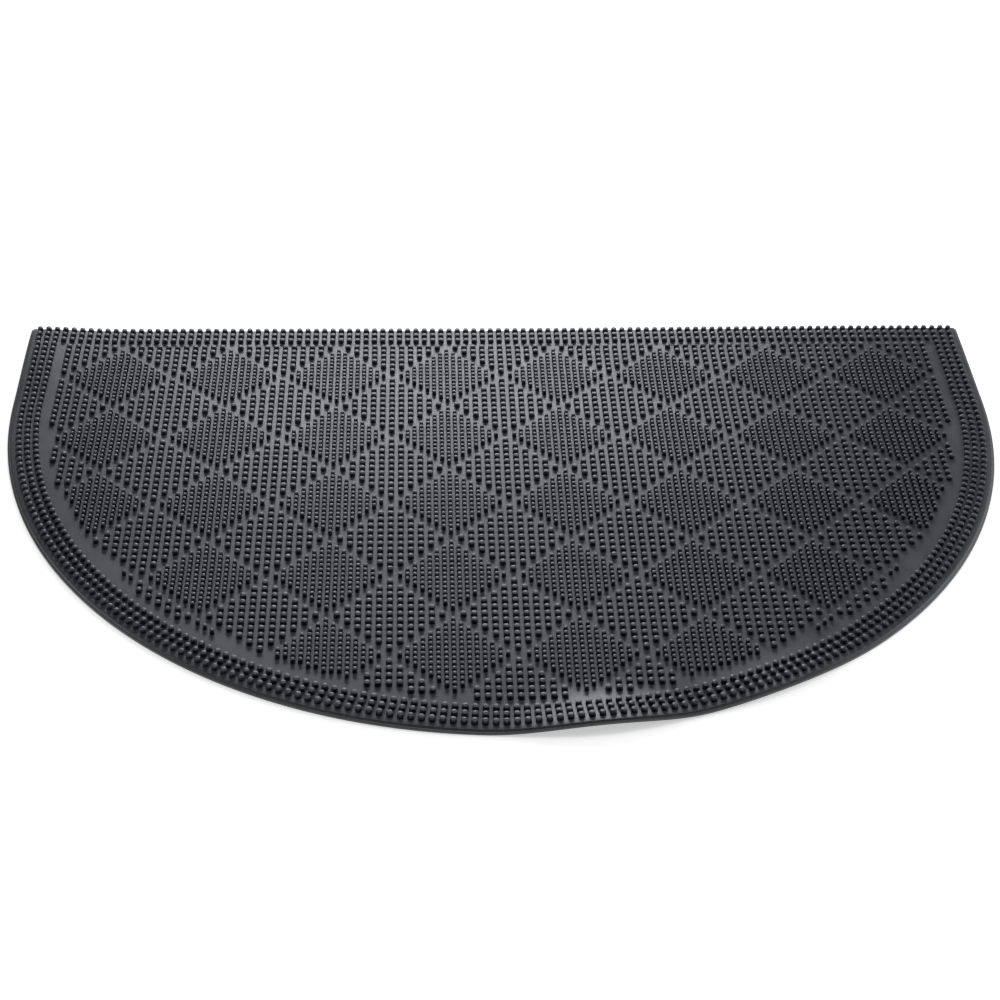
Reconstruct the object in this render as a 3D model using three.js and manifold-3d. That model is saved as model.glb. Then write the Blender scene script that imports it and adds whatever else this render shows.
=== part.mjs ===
import * as THREE from 'three';
import { mergeVertices } from 'three/addons/utils/BufferGeometryUtils.js';
import Module from 'manifold-3d';

// Half-round rubber doormat, one moulding: a thin slab with a stepped lip round its curve, and
// fields of short pins on top. Millimetres, +Z up. The origin is on the floor under the middle
// of the mat, +X runs along the straight edge and +Y points to it. The fields stand here as
// solid relief of the pins' full height: three ridges where the border has three rows of pins,
// and a raised diamond for each diamond of pins.

// Outline: short straight sides run forward from the straight edge into one full curve, a
// rounded ellipse with the exponent below (2 would be a plain ellipse).
const WIDTH = 750;
const DEPTH = 453;
const STRAIGHT_SIDE = 95.5;
const CURVE_EXPONENT = 2.05;

// Slab and its lip.
const SLAB = 3.2;
const LIP_HEIGHT = 1.9;
const LIP_WIDTH = 1.4;
const LIP_SLOPE = 0.5;
const EDGE_BEVEL = 0.3;
const FAR_BEVEL = 0.2;

// Border: three rows of pins, at these distances from the curve and from the straight edge.
const BORDER_ROWS = [
  { fromCurve: 8.2, fromStraight: 2.3 },
  { fromCurve: 14.5, fromStraight: 9.2 },
  { fromCurve: 20.8, fromStraight: 16.2 },
];
const RIDGE_FOOT = 4.2;
const RIDGE_TOP = 3.9;
const RIDGE_HEIGHT = 2.9;

// Pattern: diamonds of small close pins alternate with diamonds of larger open pins. Each
// reaches so many pins from its middle to its tips, at a pitch that is a fraction of the tile,
// and stands as high above the slab as its pins.
const TILE = { x: 85.4, y: 79.2 };
const TILE_ORIGIN_Y = DEPTH / 2 + 13.86;
const CLOSE = { reach: 7, pinsPerTile: 16.69, pinDiameter: 3, pinHeight: 3.4, shift: 0.5 };
const OPEN = { reach: 5, pinsPerTile: 12, pinDiameter: 4.2, pinHeight: 2.9, shift: 0 };

// Field: the pattern is cut off along a smaller copy of the outline's curve, and along a
// straight line behind the straight border rows.
const FIELD_SCALE = 0.919;
const FIELD_FAR_Y = DEPTH / 2 - 23.6;

// Unevenness: soft rises of the whole sheet off the floor, from a middle out to two radii.
const RISES = [
  { x: 56, y: -243.5, radiusX: 86, radiusY: 65, height: 7.6 },
  { x: 212, y: -243.5, radiusX: 122, radiusY: 104, height: 7 },
  { x: 340, y: 231.5, radiusX: 400, radiusY: 142, height: 2.5 },
  { x: -380, y: 206, radiusX: 83, radiusY: 87, height: 2.9 },
];

// Moulded rubber, dark grey and matt.
const RUBBER = { color: 0x37383c, roughness: 0.62, metalness: 0 };

// Mesh fineness along the outline, and the rings inside it that carry the rises.
const EDGE_STEPS = 24;
const SIDE_STEPS = 5;
const CURVE_STEPS = 64;
const INNER_RINGS = [0.93, 0.84, 0.72, 0.55, 0.3];
const RING_CENTRE = { x: 0, y: 40 };

const wasm = await Module();
wasm.setup();

const CURVE_Y = DEPTH / 2 - STRAIGHT_SIDE;
const CURVE_DROP = DEPTH - STRAIGHT_SIDE;

function lift(x, y) {
  let z = 0;
  for (const rise of RISES) {
    const away = Math.hypot((x - rise.x) / rise.radiusX, (y - rise.y) / rise.radiusY);
    if (away < 1) z += rise.height * Math.cos((away * Math.PI) / 2) ** 2;
  }
  return z;
}

// A point of the curve, t from 0 at its left end to 1 at its right end, moved inward.
function curvePoint(t, inset, scale = 1) {
  const angle = Math.PI * (1 - t);
  const power = 2 / CURVE_EXPONENT;
  const cos = Math.cos(angle);
  const sin = Math.sin(angle);
  const unitX = Math.sign(cos) * Math.abs(cos) ** power;
  const unitY = Math.max(sin, 0) ** power;
  const a = (scale * WIDTH) / 2;
  const b = scale * CURVE_DROP;
  const normal = new THREE.Vector2(
    (Math.sign(unitX) * Math.abs(unitX) ** (CURVE_EXPONENT - 1)) / a,
    -(unitY ** (CURVE_EXPONENT - 1)) / b,
  ).normalize();
  return new THREE.Vector2(a * unitX - inset * normal.x, CURVE_Y - b * unitY - inset * normal.y);
}

// The closed outline, counter-clockwise from its right far corner, moved inward.
function outline(fromCurve, fromStraight) {
  const half = WIDTH / 2 - fromCurve;
  const far = DEPTH / 2 - fromStraight;
  const points = [];
  for (let i = 0; i < EDGE_STEPS; i += 1) {
    points.push(new THREE.Vector2(half - (2 * half * i) / EDGE_STEPS, far));
  }
  for (let i = 0; i < SIDE_STEPS; i += 1) {
    points.push(new THREE.Vector2(-half, far + ((CURVE_Y - far) * i) / SIDE_STEPS));
  }
  for (let i = 0; i <= CURVE_STEPS; i += 1) points.push(curvePoint(i / CURVE_STEPS, fromCurve));
  for (let i = 1; i < SIDE_STEPS; i += 1) {
    points.push(new THREE.Vector2(half, CURVE_Y + ((far - CURVE_Y) * i) / SIDE_STEPS));
  }
  return points;
}

function shrunk(points, scale) {
  const x = (p) => RING_CENTRE.x + scale * (p.x - RING_CENTRE.x);
  const y = (p) => RING_CENTRE.y + scale * (p.y - RING_CENTRE.y);
  return points.map((p) => new THREE.Vector2(x(p), y(p)));
}

// A skin through rings of equally many points, each ring at its own height above the rises.
// It ends in a middle point at both ends, or closes on itself.
function loft(rings, closed) {
  const positions = [];
  const index = [];
  const count = rings[0].points.length;
  const add = (p, z) => positions.push(p.x, p.y, z + lift(p.x, p.y));
  for (const ring of rings) ring.points.forEach((p) => add(p, ring.z));
  const strips = closed ? rings.length : rings.length - 1;
  for (let r = 0; r < strips; r += 1) {
    const low = r * count;
    const high = ((r + 1) % rings.length) * count;
    for (let i = 0; i < count; i += 1) {
      const next = (i + 1) % count;
      index.push(low + i, low + next, high + i, low + next, high + next, high + i);
    }
  }
  if (!closed) {
    const middle = rings.length * count;
    const last = (rings.length - 1) * count;
    add(RING_CENTRE, rings[0].z);
    add(RING_CENTRE, rings[rings.length - 1].z);
    for (let i = 0; i < count; i += 1) {
      const next = (i + 1) % count;
      index.push(middle, next, i, last + i, last + next, middle + 1);
    }
  }
  const geometry = new THREE.BufferGeometry();
  geometry.setAttribute('position', new THREE.Float32BufferAttribute(positions, 3));
  geometry.setIndex(index);
  return geometry;
}

function toSolid(geometry) {
  const plain = geometry.clone();
  plain.deleteAttribute('normal');
  plain.deleteAttribute('uv');
  const merged = mergeVertices(plain, 1e-4);
  return new wasm.Manifold(new wasm.Mesh({
    numProp: 3,
    vertProperties: new Float32Array(merged.attributes.position.array),
    triVerts: new Uint32Array(merged.index.array),
  }));
}

function toGeometry(solid) {
  const mesh = solid.getMesh();
  const geometry = new THREE.BufferGeometry();
  geometry.setAttribute('position', new THREE.BufferAttribute(mesh.vertProperties, 3));
  geometry.setIndex(new THREE.BufferAttribute(mesh.triVerts, 1));
  return geometry;
}

function slabSolid() {
  const edge = outline(0, 0);
  const bevel = outline(EDGE_BEVEL, 0);
  const lip = outline(LIP_WIDTH, FAR_BEVEL);
  const shoulder = outline(LIP_WIDTH + LIP_SLOPE, 2 * FAR_BEVEL);
  const under = INNER_RINGS.map((scale) => ({ points: shrunk(edge, scale), z: 0 })).reverse();
  const over = INNER_RINGS.map((scale) => ({ points: shrunk(shoulder, scale), z: SLAB }));
  const rim = [
    { points: edge, z: 0 },
    { points: edge, z: LIP_HEIGHT - EDGE_BEVEL },
    { points: bevel, z: LIP_HEIGHT },
    { points: lip, z: LIP_HEIGHT },
    { points: shoulder, z: SLAB },
  ];
  return toSolid(loft([...under, ...rim, ...over], false));
}

function ridgeSolid(row) {
  const foot = SLAB / 2;
  const top = SLAB + RIDGE_HEIGHT;
  const ring = (side, z) => ({ points: outline(row.fromCurve + side, row.fromStraight + side), z });
  return toSolid(loft([
    ring(RIDGE_FOOT / 2, foot),
    ring(-RIDGE_FOOT / 2, foot),
    ring(-RIDGE_TOP / 2, top),
    ring(RIDGE_TOP / 2, top),
  ], true));
}

function prism(shape, low, high) {
  const geometry = new THREE.ExtrudeGeometry(shape, { depth: high - low, bevelEnabled: false });
  geometry.translate(0, 0, low);
  return toSolid(geometry);
}

function fieldSolid() {
  const shape = new THREE.Shape();
  const right = curvePoint(1, 0, FIELD_SCALE);
  shape.moveTo(right.x, FIELD_FAR_Y);
  shape.lineTo(-right.x, FIELD_FAR_Y);
  for (let i = 0; i <= CURVE_STEPS; i += 1) {
    const p = curvePoint(i / CURVE_STEPS, 0, FIELD_SCALE);
    shape.lineTo(p.x, p.y);
  }
  return prism(shape, 0, 2 * (SLAB + CLOSE.pinHeight));
}

// One diamond's own reach in X and Y, out to the far side of its tip pins.
function diamondReach(kind) {
  return {
    x: (kind.reach * TILE.x) / kind.pinsPerTile + kind.pinDiameter / 2,
    y: (kind.reach * TILE.y) / kind.pinsPerTile + kind.pinDiameter / 2,
  };
}

function hasPins(cx, cy, kind) {
  const stepX = TILE.x / kind.pinsPerTile;
  const stepY = TILE.y / kind.pinsPerTile;
  const a = (FIELD_SCALE * WIDTH) / 2 - kind.pinDiameter / 2;
  const b = FIELD_SCALE * CURVE_DROP - kind.pinDiameter / 2;
  for (let i = -kind.reach; i <= kind.reach; i += 1) {
    const rest = kind.reach - Math.abs(i);
    for (let j = -rest; j <= rest; j += 1) {
      const x = Math.abs(cx + i * stepX) / a;
      const y = Math.max(CURVE_Y - (cy + j * stepY), 0) / b;
      const behind = cy + j * stepY < FIELD_FAR_Y;
      if (behind && x ** CURVE_EXPONENT + y ** CURVE_EXPONENT < 1) return true;
    }
  }
  return false;
}

function diamondSolids(kind) {
  const reach = diamondReach(kind);
  const columns = Math.ceil(WIDTH / 2 / TILE.x);
  const rows = Math.ceil(DEPTH / TILE.y);
  const solids = [];
  for (let row = 0; row <= rows; row += 1) {
    for (let column = -columns; column <= columns; column += 1) {
      const cx = (column + kind.shift) * TILE.x;
      const cy = TILE_ORIGIN_Y - (row + 0.5 - kind.shift) * TILE.y;
      if (hasPins(cx, cy, kind)) {
        const shape = new THREE.Shape();
        shape.moveTo(cx + reach.x, cy);
        shape.lineTo(cx, cy + reach.y);
        shape.lineTo(cx - reach.x, cy);
        shape.lineTo(cx, cy - reach.y);
        solids.push(prism(shape, SLAB / 2, SLAB + kind.pinHeight));
      }
    }
  }
  return solids;
}

// All diamonds, cut off along the field's edge and then raised with the sheet.
function patternSolid() {
  const diamonds = [...diamondSolids(CLOSE), ...diamondSolids(OPEN)];
  const geometry = toGeometry(diamonds.reduce((a, b) => a.add(b)).intersect(fieldSolid()));
  const position = geometry.attributes.position;
  for (let i = 0; i < position.count; i += 1) {
    position.setZ(i, position.getZ(i) + lift(position.getX(i), position.getY(i)));
  }
  return toSolid(geometry);
}

function doormat() {
  const ridges = BORDER_ROWS.map(ridgeSolid);
  const solid = [...ridges, patternSolid()].reduce((a, b) => a.add(b), slabSolid());
  const mesh = new THREE.Mesh(toGeometry(solid), new THREE.MeshStandardMaterial(RUBBER));
  mesh.name = 'doormat';
  return mesh;
}

const part = new THREE.Group();
part.add(doormat());

export default part;
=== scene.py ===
import math

import bpy
import numpy as np
from mathutils import Euler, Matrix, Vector


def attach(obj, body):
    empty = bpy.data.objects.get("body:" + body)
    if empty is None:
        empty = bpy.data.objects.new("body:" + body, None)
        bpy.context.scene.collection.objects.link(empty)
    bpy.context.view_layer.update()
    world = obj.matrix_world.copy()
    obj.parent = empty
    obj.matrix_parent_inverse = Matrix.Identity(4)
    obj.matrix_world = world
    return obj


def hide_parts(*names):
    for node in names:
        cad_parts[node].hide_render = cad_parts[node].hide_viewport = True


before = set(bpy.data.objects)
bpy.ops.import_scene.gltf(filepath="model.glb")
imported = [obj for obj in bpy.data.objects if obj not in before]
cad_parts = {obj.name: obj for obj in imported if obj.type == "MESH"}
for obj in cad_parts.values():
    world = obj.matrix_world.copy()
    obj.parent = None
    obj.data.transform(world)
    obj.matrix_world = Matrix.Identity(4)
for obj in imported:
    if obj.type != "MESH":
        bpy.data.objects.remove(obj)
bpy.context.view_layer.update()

# Half-round rubber doormat. Metres, +Z up, the floor at 0, the straight edge at +Y. The slab with
# its lip is one closed sheet, and the pins moulded on it stand in four groups. The numbers of the
# outline, the lip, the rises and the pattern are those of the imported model. The small radii of the
# edge, the last of the rises and each single pin are only here.

# Outline of the sheet: short straight sides, then one rounded ellipse with this exponent. SLAB is
# its thickness, and FLAT_AREA what it covers when flat, in square metres.
WIDTH = 0.750
DEPTH = 0.453
STRAIGHT_SIDE = 0.0955
CURVE_EXPONENT = 2.05
SLAB = 0.0032
CURVE_Y = DEPTH / 2 - STRAIGHT_SIDE
CURVE_DROP = DEPTH - STRAIGHT_SIDE

# The sheet's edge, from the floor up to the slab's top: distance in from the curve, distance in
# from the straight edge, height. The lip is what lies within LIP_INNER of the curve.
EDGE_SECTION = [
    (0.00030, 0.00030, 0.00000),
    (0.00006, 0.00008, 0.00010),
    (0.00000, 0.00000, 0.00032),
    (0.00000, 0.00000, 0.00150),
    (0.00006, 0.00000, 0.00175),
    (0.00020, 0.00000, 0.00187),
    (0.00040, 0.00000, 0.00190),
    (0.00125, 0.00000, 0.00190),
    (0.00142, 0.00000, 0.00198),
    (0.00152, 0.00000, 0.00218),
    (0.00170, 0.00002, 0.00270),
    (0.00182, 0.00008, 0.00298),
    (0.00200, 0.00022, 0.00314),
    (0.00235, 0.00055, 0.00320),
]
LIP_INNER = 0.0016

# Fineness of the sheet's skin: steps along its outline, and the rings inside it, as fractions of
# the outline around a middle.
EDGE_STEPS, SIDE_STEPS, CURVE_STEPS = 150, 18, 300
RING_MIDDLE = np.array([0, 0.040])
UNDER_RINGS = np.concatenate([np.linspace(0.04, 0.94, 18), [0.97, 0.99]])
OVER_RINGS = np.concatenate([[0.992, 0.98], np.linspace(0.965, 0.02, 44)])

# Unevenness: soft rises of the whole sheet off the floor. Middle x and y, the two radii, height.
RISES = [
    (0.056, -0.2435, 0.086, 0.065, 0.0076),
    (0.212, -0.2435, 0.122, 0.104, 0.0070),
    (0.340, 0.2315, 0.400, 0.142, 0.0025),
    (-0.380, 0.2060, 0.083, 0.087, 0.0029),
    (0.020, 0.0515, 0.453, 0.171, 0.0019),
]

# Border pins: rows at these distances from the curve, pin beside pin along common normals and
# evenly spaced on the innermost, and straight rows behind the straight edge.
BORDER_ROWS = [0.0082, 0.0145, 0.0208]
BORDER_PITCH = 0.00662
FAR_ROWS = [0.0023, 0.0092, 0.0162]
FAR_PITCH = 0.00668
FAR_COUNT = 111

# Pattern: diamonds of small close pins alternate with diamonds of larger open pins. Each reaches
# so many pins from its middle, at so many to a tile, and is cut off along a smaller copy of the
# outline's curve and along a line behind the straight rows.
TILE_X = 0.0854
TILE_Y = 0.0792
TILE_ORIGIN_Y = DEPTH / 2 + 0.01386
CLOSE = {"reach": 7, "per_tile": 16.69, "shift": 0.5, "within": 0.9065}
OPEN = {"reach": 5, "per_tile": 12.0, "shift": 0.0, "within": 0.9155}
FIELD_FAR_Y = DEPTH / 2 - 0.0245
TILE_COLUMNS = np.arange(-5, 5 + 1)
TILE_ROWS = np.arange(0, 8) + 0.5

# Pins: foot and top radius, height above the slab, radius of the worn edge. All have a slight
# crown on top, stand a little sunk in the slab, and lean (radians) and vary in size at random.
PIN_SIDES = 10
CLOSE_PIN = {"Foot radius": 0.00170, "Top radius": 0.00144, "Height": 0.0034, "Round": 0.00016}
BROAD_PIN = {"Foot radius": 0.00240, "Top radius": 0.00198, "Height": 0.0029, "Round": 0.0002}
ANY_PIN = {"Crown": 0.00008, "Sunk": 0.0004, "Lean": 0.03, "Uneven": 0.03}

# Rubber: base colours, the pins' walls painted near-black as painted shade, the lip painted paler as
# painted light, and the cool tint of its sheen.
DARK, DUSTY = (0.026, 0.0275, 0.033, 1), (0.047, 0.0495, 0.057, 1)
# Painted shade: the pins' walls are coloured nearly black to stand in for the shade on them.
WALL_PAINTED_SHADE_DARK, WALL_PAINTED_SHADE_DUSTY = (0.006, 0.0065, 0.008, 1), (0.012, 0.013, 0.015, 1)
WORN_TIP = (0.072, 0.076, 0.084, 1)
# Painted light: the lip is coloured paler to stand in for the light on it.
LIP_PAINTED_LIGHT = (0.080, 0.082, 0.072, 1)
SHEEN = (0.86, 0.91, 1.0, 1)

# Studio: half the floor's width, the lamps (place, size, watts), all turned to the mat's middle,
# and the camera with its turn in degrees.
FLOOR_HALF = 6
LIGHTS = {
    "light_low": ((0.09, 1.75, 0.40), (1.8, 0.42), 5.6),
    "light_behind": ((-0.03, 1.59, 0.845), (1.0, 0.50), 14.4),
    "light_above": ((0, 0.466, 1.739), (1.2, 0.5), 6.0),
    "light_right": ((1.35, 0.78, 0.90), (0.8, 0.6), 6.9),
    "light_far_left": ((-1.63, 0.06, 0.76), (0.8, 0.6), 10.3),
    "light_far_right": ((1.63, 0.06, 0.76), (0.8, 0.6), 12.5),
}
CAMERA_LENS = 70.831
CAMERA_AT = (-0.06652, -1.10137, 0.89778)
CAMERA_TURN = (51.139, -1.293, -2.055)


def lift(x, y):
    """How far the sheet stands off the floor at points x, y."""
    z = np.zeros(np.shape(x))
    for at_x, at_y, radius_x, radius_y, height in RISES:
        away = np.hypot((x - at_x) / radius_x, (y - at_y) / radius_y)
        z += np.where(away < 1, height * np.cos(np.minimum(away, 1) * math.pi / 2) ** 2, 0)
    return z


def curve(turn):
    """Points of the outline's curve and their inward normals, turn from 0 left to 1 right."""
    angle = math.pi * (1 - np.asarray(turn, float))
    power = 2 / CURVE_EXPONENT
    unit_x = np.sign(np.cos(angle)) * np.abs(np.cos(angle)) ** power
    unit_y = np.maximum(np.sin(angle), 0) ** power
    a, b = WIDTH / 2, CURVE_DROP
    normal_x = -np.sign(unit_x) * np.abs(unit_x) ** (CURVE_EXPONENT - 1) / a
    normal_y = unit_y ** (CURVE_EXPONENT - 1) / b
    length = np.hypot(normal_x, normal_y)
    points = np.stack([a * unit_x, CURVE_Y - b * unit_y], 1)
    return points, np.stack([normal_x / length, normal_y / length], 1)


# The sheet.


def outline(from_curve, from_straight):
    """The closed outline, counter-clockwise from its right far corner, moved inward."""
    half = WIDTH / 2 - from_curve
    far = DEPTH / 2 - from_straight
    along = np.arange(EDGE_STEPS) / EDGE_STEPS
    down = np.arange(SIDE_STEPS) / SIDE_STEPS
    points, normals = curve(np.linspace(0, 1, CURVE_STEPS + 1))
    up = np.arange(1, SIDE_STEPS) / SIDE_STEPS
    return np.concatenate([
        np.stack([half - 2 * half * along, np.full(EDGE_STEPS, far)], 1),
        np.stack([np.full(SIDE_STEPS, -half), far + (CURVE_Y - far) * down], 1),
        points + from_curve * normals,
        np.stack([np.full(SIDE_STEPS - 1, half), CURVE_Y + (far - CURVE_Y) * up], 1),
    ])


def sheet_mesh():
    """The slab and its lip as one closed skin: rings from the underside's middle to the top's."""
    edge = [outline(a, b) for a, b, _ in EDGE_SECTION]
    rings = [RING_MIDDLE + s * (edge[0] - RING_MIDDLE) for s in UNDER_RINGS]
    rings += edge
    rings += [RING_MIDDLE + s * (edge[-1] - RING_MIDDLE) for s in OVER_RINGS]
    heights = [0.0] * len(UNDER_RINGS)
    heights += [z for _, _, z in EDGE_SECTION]
    heights += [SLAB] * len(OVER_RINGS)
    count = len(edge[0])
    flat = np.concatenate(rings + [RING_MIDDLE[None], RING_MIDDLE[None]])
    z = np.concatenate([np.repeat(heights, count), [0.0, SLAB]]) + lift(flat[:, 0], flat[:, 1])
    faces = []
    for r in range(len(rings) - 1):
        low, high = r * count, (r + 1) * count
        for i in range(count):
            j = (i + 1) % count
            faces.append((low + i, low + j, high + j, high + i))
    bottom, top = len(rings) * count, len(rings) * count + 1
    last = (len(rings) - 1) * count
    for i in range(count):
        j = (i + 1) % count
        faces.append((bottom, j, i))
        faces.append((last + i, last + j, top))
    mesh = bpy.data.meshes.new("mat_sheet")
    mesh.from_pydata(np.column_stack([flat, z]).tolist(), [], faces)
    # rim is 1 on the lip, where it is painted paler as painted light, and 0 on the slab and along
    # the straight edge.
    on_lip = np.concatenate([
        np.zeros(len(UNDER_RINGS)),
        [float(a < LIP_INNER) for a, _, _ in EDGE_SECTION],
        np.zeros(len(OVER_RINGS)),
    ])
    rim = np.concatenate([np.repeat(on_lip, count), [0, 0]])
    rim *= flat[:, 1] < DEPTH / 2 - 0.001
    mesh.attributes.new("rim", "FLOAT", "POINT").data.foreach_set("value", rim.astype(np.float32))
    mesh.shade_smooth()
    return mesh


# Where the pins stand.


def border_feet():
    """Feet of the border's pins: three rows round the curve, three behind the straight edge."""
    corner = np.array([[-WIDTH / 2, DEPTH / 2 - FAR_ROWS[-1]]])
    turns, turn_normals = curve(np.linspace(0, 1, 6001))
    rise = np.linspace(0, 1, 400)[:-1, None]
    left = corner * (1 - rise) + turns[:1] * rise
    path = np.concatenate([left, turns, (left * [-1, 1])[::-1]])
    normals = np.concatenate([
        np.tile([1.0, 0.0], (len(left), 1)), turn_normals, np.tile([-1.0, 0.0], (len(left), 1)),
    ])
    inner = path + BORDER_ROWS[-1] * normals
    run = np.concatenate([[0], np.cumsum(np.hypot(*np.diff(inner, axis=0).T))])
    spaces = 2 * round((run[-1] / BORDER_PITCH - 1) / 2) + 1
    at = np.linspace(0, run[-1], spaces + 1)[1:-1]
    foot = np.stack([np.interp(at, run, path[:, k]) for k in (0, 1)], 1)
    towards = np.stack([np.interp(at, run, normals[:, k]) for k in (0, 1)], 1)
    half = FAR_PITCH * (FAR_COUNT - 1) / 2
    along = np.linspace(-half, half, FAR_COUNT)
    rows = [foot + inset * towards for inset in BORDER_ROWS]
    rows += [np.stack([along, np.full(FAR_COUNT, DEPTH / 2 - y)], 1) for y in FAR_ROWS]
    return np.concatenate(rows)


def field_feet(kind):
    """Feet of one kind of diamond's pins, cut off along the border's channel."""
    columns, rows = TILE_COLUMNS + kind["shift"], TILE_ROWS - kind["shift"]
    step_x, step_y = TILE_X / kind["per_tile"], TILE_Y / kind["per_tile"]
    reach = range(-kind["reach"], kind["reach"] + 1)
    feet = np.array([
        (column * TILE_X + i * step_x, TILE_ORIGIN_Y - row * TILE_Y + j * step_y)
        for column in columns for row in rows for i in reach for j in reach
        if abs(i) + abs(j) <= kind["reach"]
    ])
    drop = np.maximum(CURVE_Y - feet[:, 1], 0) / CURVE_DROP
    out = (np.abs(feet[:, 0]) / (WIDTH / 2)) ** CURVE_EXPONENT + drop ** CURVE_EXPONENT
    inside = out < kind["within"] ** CURVE_EXPONENT
    return feet[inside & (feet[:, 1] < FIELD_FAR_Y)]


def feet_object(name, feet):
    """Loose points on the slab's top, each with the sheet's own upward direction."""
    x, y = feet.T
    step = 0.0005
    up = np.stack([
        (lift(x - step, y) - lift(x + step, y)) / (2 * step),
        (lift(x, y - step) - lift(x, y + step)) / (2 * step),
        np.ones(len(x)),
    ], 1)
    up /= np.linalg.norm(up, axis=1)[:, None]
    mesh = bpy.data.meshes.new(name)
    mesh.from_pydata(np.column_stack([x, y, SLAB + lift(x, y)]).tolist(), [], [])
    mesh.attributes.new("up", "FLOAT_VECTOR", "POINT").data.foreach_set(
        "vector", up.astype(np.float32).ravel())
    return add(name, mesh)


def add(name, data):
    piece = bpy.data.objects.new(name, data)
    bpy.context.scene.collection.objects.link(piece)
    return piece


# Nodes.


class Socket:
    """A node's output. Arithmetic on it adds Math nodes to its tree."""

    def __init__(self, nodes, socket):
        self.nodes = nodes
        self.socket = socket

    def math(self, operation, *values):
        return self.nodes.add("ShaderNodeMath", {"operation": operation}, values)

    def __add__(self, other):
        return self.math("ADD", self, other)

    def __sub__(self, other):
        return self.math("SUBTRACT", self, other)

    def __rsub__(self, other):
        return self.math("SUBTRACT", other, self)

    def __neg__(self):
        return self.math("MULTIPLY", self, -1.0)

    def __mul__(self, other):
        return self.math("MULTIPLY", self, other)

    def __truediv__(self, other):
        return self.math("DIVIDE", self, other)

    def __gt__(self, other):
        return self.math("GREATER_THAN", self, other)

    def __lt__(self, other):
        return self.math("LESS_THAN", self, other)

    __radd__ = __add__
    __rmul__ = __mul__

    def clamped(self):
        """The same value, kept between 0 and 1."""
        return self.nodes.add(
            "ShaderNodeMath", {"operation": "MULTIPLY", "use_clamp": True}, (self, 1.0))


class Nodes:
    """A node tree that is filled by one method."""

    def __init__(self, tree):
        self.tree = tree

    def add(self, kind, settings=None, values=(), output=None):
        """A node of that kind. Its settings come first, then its sockets: by name, or in order.
        Gives back the named output, or else the first."""
        node = self.tree.nodes.new(kind)
        for key, value in (settings or {}).items():
            setattr(node, key, value)
        shown = [s for s in node.inputs if s.enabled]
        named = {s.name: s for s in reversed(shown)}
        pairs = values.items() if isinstance(values, dict) else enumerate(values)
        for key, value in pairs:
            socket = named[key] if isinstance(key, str) else shown[key]
            if isinstance(value, Socket):
                self.tree.links.new(value.socket, socket)
            else:
                socket.default_value = value
        outputs = [s for s in node.outputs if s.enabled and output in (None, s.name)]
        return Socket(self, outputs[0]) if outputs else None

    def blend(self, factor, a, b):
        """A colour between a and b."""
        return self.add("ShaderNodeMix", {"data_type": "RGBA"},
                        {"Factor": factor, "A": a, "B": b})


# Pins.


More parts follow.
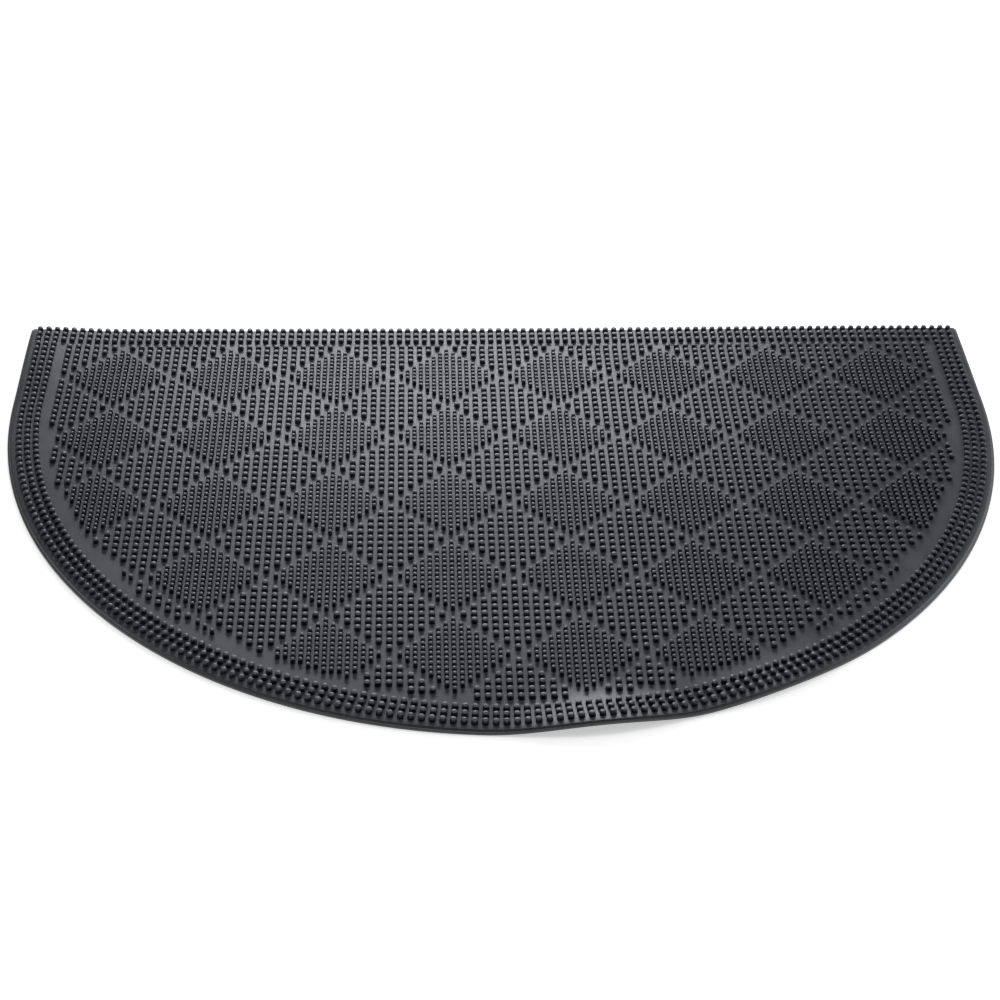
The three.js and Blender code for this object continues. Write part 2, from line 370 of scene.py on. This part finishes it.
def pin_tree():
    """Stands a tapered pin on every point, with a flat cap and a worn, rounded edge. Each leans
    a little its own way."""
    tree = bpy.data.node_groups.new("pins", "GeometryNodeTree")
    tree.interface.new_socket("Feet", in_out="INPUT", socket_type="NodeSocketGeometry")
    for name, size in {**BROAD_PIN, **ANY_PIN}.items():
        socket = tree.interface.new_socket(name, in_out="INPUT", socket_type="NodeSocketFloat")
        socket.default_value = size
    tree.interface.new_socket("Seed", in_out="INPUT", socket_type="NodeSocketInt")
    tree.interface.new_socket("Rubber", in_out="INPUT", socket_type="NodeSocketMaterial")
    tree.interface.new_socket("Pins", in_out="OUTPUT", socket_type="NodeSocketGeometry")
    nodes = Nodes(tree)
    group = tree.nodes.new("NodeGroupInput")
    given = {s.name: Socket(nodes, s) for s in group.outputs if s.name}

    # One pin: the levels of a plain cylinder become foot, shoulder, rim and cap.
    # The shoulder lies on the arc of the worn edge, halfway round.
    foot, top, edge = given["Foot radius"], given["Top radius"], given["Round"]
    halfway = 0.29
    levels = [
        (foot, -given["Sunk"]),
        (top, given["Height"] - edge),
        (top - edge * halfway, given["Height"] - edge * halfway),
        (top - edge, given["Height"]),
    ]
    last = len(levels) - 1
    cylinder = nodes.add("GeometryNodeMeshCylinder", {"fill_type": "TRIANGLE_FAN"}, {
        "Vertices": PIN_SIDES, "Side Segments": last, "Fill Segments": 1, "Radius": 1.0,
        "Depth": float(last)})
    place = nodes.add("GeometryNodeInputPosition")
    level = nodes.add("ShaderNodeSeparateXYZ", None, (place,), "Z") + last / 2
    flat = nodes.add("ShaderNodeVectorMath", {"operation": "MULTIPLY"}, (place, (1, 1, 0)))
    here = [(level > k - 0.5) * (level < k + 0.5) for k in range(last + 1)]
    radius = sum(at * r for at, (r, _) in zip(here, levels))
    height = sum(at * z for at, (_, z) in zip(here, levels))
    middle = 1 - nodes.add("ShaderNodeVectorMath", {"operation": "LENGTH"}, (flat,), "Value")
    height = height + here[last] * middle.clamped() * given["Crown"]
    around = nodes.add("ShaderNodeVectorMath", {"operation": "SCALE"},
                       {"Vector": flat, "Scale": radius})
    up = nodes.add("ShaderNodeCombineXYZ", None, {"Z": height})
    at = nodes.add("ShaderNodeVectorMath", {"operation": "ADD"}, (around, up))
    pin = nodes.add("GeometryNodeSetPosition", None, {"Geometry": cylinder, "Position": at})
    pin = nodes.add("GeometryNodeStoreNamedAttribute", {"data_type": "FLOAT", "domain": "POINT"}, {
        "Geometry": pin, "Name": "level", "Value": (level / last).clamped()})

    # The whole group: each pin stands on the sheet's own slope, turned and leant at random.
    up_there = nodes.add("GeometryNodeInputNamedAttribute", {"data_type": "FLOAT_VECTOR"},
                         {"Name": "up"})
    spin = nodes.add("FunctionNodeRandomValue", {"data_type": "FLOAT"}, {
        "Min": -math.pi, "Max": math.pi, "Seed": given["Seed"]})
    lean = [nodes.add("FunctionNodeRandomValue", {"data_type": "FLOAT"}, {
        "Min": -given["Lean"], "Max": given["Lean"], "Seed": given["Seed"] + k})
        for k in (1.0, 2.0)]
    own = nodes.add("FunctionNodeEulerToRotation", None, (
        nodes.add("ShaderNodeCombineXYZ", None, (lean[0], lean[1], spin)),))
    upright = nodes.add("FunctionNodeAlignRotationToVector", {"axis": "Z"}, {"Vector": up_there})
    turned = nodes.add("FunctionNodeRotateRotation", {"rotation_space": "LOCAL"}, (upright, own))
    size = nodes.add("FunctionNodeRandomValue", {"data_type": "FLOAT"}, {
        "Min": 1.0 - given["Uneven"], "Max": 1.0 + given["Uneven"],
        "Seed": given["Seed"] + 3.0})
    shade = nodes.add("FunctionNodeRandomValue", {"data_type": "FLOAT"}, {
        "Min": 0.0, "Max": 1.0, "Seed": given["Seed"] + 4.0})
    feet = nodes.add("GeometryNodeStoreNamedAttribute", {"data_type": "FLOAT", "domain": "POINT"}, {
        "Geometry": given["Feet"], "Name": "shade", "Value": shade})
    scale = nodes.add("ShaderNodeCombineXYZ", None, (size, size, size))
    pins = nodes.add("GeometryNodeInstanceOnPoints", None, {
        "Points": feet, "Instance": pin, "Rotation": turned, "Scale": scale})
    pins = nodes.add("GeometryNodeRealizeInstances", None, {"Geometry": pins})
    # Walls and edge are smooth, the cap is flat.
    on_side = nodes.add("GeometryNodeInputNamedAttribute", {"data_type": "FLOAT"},
                        {"Name": "level"}) < 0.95
    pins = nodes.add("GeometryNodeSetShadeSmooth", None, {
        "Geometry": pins, "Shade Smooth": on_side})
    pins = nodes.add("GeometryNodeSetMaterial", None, {
        "Geometry": pins, "Material": given["Rubber"]})
    end = tree.nodes.new("NodeGroupOutput")
    tree.links.new(pins.socket, end.inputs[0])
    return tree


def pins_piece(name, feet, tree, rubber, sizes, seed):
    """One group of pins as a plain mesh."""
    piece = feet_object(name, feet)
    modifier = piece.modifiers.new("pins", "NODES")
    modifier.node_group = tree
    inputs = {s.name: s.identifier for s in tree.interface.items_tree if s.in_out == "INPUT"}
    for key, value in {**sizes, "Seed": seed, "Rubber": rubber}.items():
        modifier[inputs[key]] = value
    bpy.context.view_layer.update()
    shaped = piece.evaluated_get(bpy.context.evaluated_depsgraph_get())
    mesh = bpy.data.meshes.new_from_object(shaped)
    piece.modifiers.remove(modifier)
    points = piece.data
    piece.data = mesh
    mesh.name = name
    bpy.data.meshes.remove(points)
    return piece


# Rubber.


def rubber(name, of_pins):
    """Dark moulded rubber with a fine grain and a cloudy, dusty bloom. The slab's has its lip
    painted paler as painted light, the pins' has worn tips above dull walls painted nearly black as
    painted shade."""
    material = bpy.data.materials.new(name)
    material.use_nodes = True
    material.node_tree.nodes.clear()
    nodes = Nodes(material.node_tree)
    place = nodes.add("ShaderNodeTexCoord", None, (), "Object")

    def noise(scale, detail=2.0, rough=0.5, distortion=0.0):
        return nodes.add("ShaderNodeTexNoise", None, {
            "Vector": place, "Scale": scale, "Detail": detail, "Roughness": rough,
            "Distortion": distortion})

    def own(attribute):
        return nodes.add("ShaderNodeAttribute", {"attribute_name": attribute}, (), "Fac")

    def principled(colour, roughness, ior):
        return nodes.add("ShaderNodeBsdfPrincipled", None, {
            "Base Color": colour, "Roughness": roughness, "IOR": ior, "Normal": normal,
            "Specular Tint": SHEEN})

    cloud = noise(9.0, 3.0, 0.55, 0.4)
    mottle = noise(70.0, 4.0, 0.6)
    speck = noise(620.0, 2.0, 0.6)
    grain = noise(1900.0, 2.0, 0.55)
    bloom = ((cloud * 0.55 + mottle * 0.45 - 0.36).clamped() * 2.2).clamped()
    colour = nodes.blend(bloom, DARK, DUSTY)
    if of_pins:
        shade = own("shade")
        colour = nodes.blend(0.4 + shade * 0.6, colour, WORN_TIP)
        roughness = 0.32 + (speck - 0.5) * 0.18 + (shade - 0.5) * 0.08
        height = speck * 0.3 + grain * 0.7
        bump = 0.00005
    else:
        # Painted light: the lip is blended towards a paler colour.
        colour = nodes.blend(own("rim") * 0.8, colour, LIP_PAINTED_LIGHT)
        roughness = 0.39 + (mottle - 0.5) * 0.18 + (speck - 0.5) * 0.2
        height = mottle * 0.25 + speck * 0.3 + grain * 0.45
        bump = 0.00008
    normal = nodes.add("ShaderNodeBump", None, {
        "Strength": 0.6, "Distance": bump, "Height": height})
    surface = principled(colour, roughness.clamped(), 1.54)
    if of_pins:
        # Painted shade: below the tip the walls take a nearly black copy of the rubber.
        tip = ((own("level") - 0.36) * 5.0).clamped()
        painted_shade_wall = principled(nodes.blend(bloom, WALL_PAINTED_SHADE_DARK, WALL_PAINTED_SHADE_DUSTY), 0.6, 1.2)
        surface = nodes.add("ShaderNodeMixShader", None, (tip, painted_shade_wall, surface))
    nodes.add("ShaderNodeOutputMaterial", None, {"Surface": surface})
    return material


# The pieces.


def mat_pieces():
    """The sheet and its four groups of pins, declared for the one body."""
    sheet_rubber = rubber("rubber_sheet", False)
    pin_rubber = rubber("rubber_pins", True)
    mesh = sheet_mesh()
    mesh.materials.append(sheet_rubber)
    sheet = add("mat_sheet", mesh)
    close = field_feet(CLOSE)
    tree = pin_tree()
    pins = [
        pins_piece("pins_border", border_feet(), tree, pin_rubber, BROAD_PIN, 11),
        pins_piece("pins_open", field_feet(OPEN), tree, pin_rubber, BROAD_PIN, 23),
        pins_piece("pins_close_left", close[close[:, 0] < 0], tree, pin_rubber, CLOSE_PIN, 37),
        pins_piece("pins_close_right", close[close[:, 0] >= 0], tree, pin_rubber, CLOSE_PIN, 41),
    ]
    for piece in [sheet, *pins]:
        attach(piece, "root")
    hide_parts("doormat")
    return sheet, pins


# Floor, light and camera.


def studio():
    """White floor, pale backdrop, soft lamps and the camera. Gives back the floor."""
    mesh = bpy.data.meshes.new("floor")
    corners = [(-1, -1), (1, -1), (1, 1), (-1, 1)]
    mesh.from_pydata([(x * FLOOR_HALF, y * FLOOR_HALF, 0) for x, y in corners], [], [(0, 1, 2, 3)])
    material = bpy.data.materials.new("pale_floor")
    material.use_nodes = True
    material.node_tree.nodes.clear()
    nodes = Nodes(material.node_tree)
    surface = nodes.add("ShaderNodeBsdfPrincipled", None, {
        "Base Color": (0.9, 0.9, 0.9, 1), "Roughness": 0.9,
        "Emission Color": (1, 1, 1, 1), "Emission Strength": 0.5})
    nodes.add("ShaderNodeOutputMaterial", None, {"Surface": surface})
    mesh.materials.append(material)
    floor = add("floor", mesh)

    world = bpy.data.worlds.new("studio")
    world.use_nodes = True
    world.node_tree.nodes.clear()
    nodes = Nodes(world.node_tree)
    sky = nodes.add("ShaderNodeBackground", None, {"Color": (0.52, 0.52, 0.52, 1), "Strength": 1.0})
    nodes.add("ShaderNodeOutputWorld", None, {"Surface": sky})
    # The backdrop shows behind the floor and lights nothing.
    seen = world.cycles_visibility
    seen.diffuse = seen.glossy = seen.transmission = seen.scatter = False
    bpy.context.scene.world = world

    for name, (place, size, power) in LIGHTS.items():
        light = bpy.data.lights.new(name, "AREA")
        light.shape = "RECTANGLE"
        light.size, light.size_y = size
        light.energy = power
        lamp = add(name, light)
        lamp.location = place
        lamp.rotation_euler = (-Vector(place)).to_track_quat("-Z", "Y").to_euler()
        lamp.visible_camera = False

    view = bpy.data.cameras.new("camera")
    view.lens = CAMERA_LENS
    view.clip_start, view.clip_end = 0.01, 60
    camera = add("camera", view)
    camera.location = CAMERA_AT
    camera.rotation_euler = Euler([math.radians(a) for a in CAMERA_TURN])
    scene = bpy.context.scene
    scene.camera = camera
    scene.view_settings.view_transform = "Standard"
    return floor


floor = studio()
sheet, pins = mat_pieces()
